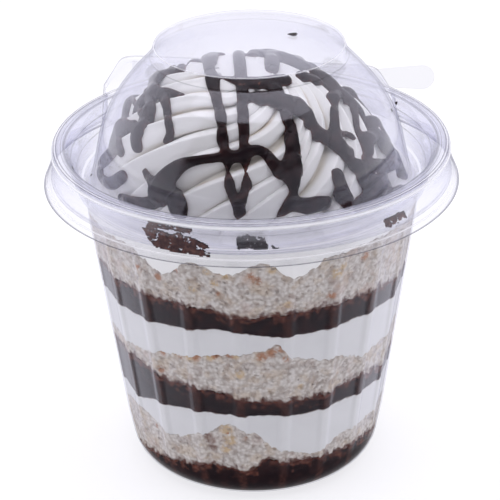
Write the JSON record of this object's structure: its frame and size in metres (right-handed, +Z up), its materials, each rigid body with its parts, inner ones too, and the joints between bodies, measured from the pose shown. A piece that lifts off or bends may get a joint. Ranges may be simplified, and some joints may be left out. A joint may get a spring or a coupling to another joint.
{
  "type": "parfait",
  "caption": "Layered cake, cream and fudge dessert in a clear fluted cup, under a clear domed lid with a flat top, a rim gutter, a skirt, and a tear strip with a pull tab at the back.",
  "frame": {"origin": "centre of the cup's flat base, on the surface it stands on", "axes": "+Z up along the cup's axis, +Y towards the straight hinge ledge at the back, +X towards the pull tab"},
  "size_m": [0.108, 0.1111, 0.1166],
  "materials": {
    "clear_plastic": "clear thermoformed PET sheet, glossy",
    "cake": "open pale crumb, stands in for vanilla sponge cake",
    "cream": "smooth satin, stands in for whipped cream",
    "fudge": "glossy, stands in for dark chocolate fudge sauce"
  },
  "bodies": {
    "root": {"cup": "clear_plastic", "lid": "clear_plastic", "tear_strip": "clear_plastic", "fudge_bottom": "fudge", "cake_bottom": "cake", "cream_lower": "cream", "fudge_middle": "fudge", "cake_middle": "cake", "cream_upper": "cream", "fudge_upper": "fudge", "cake_upper": "cake", "cream_swirl": "cream"}
  },
  "joints": []
}
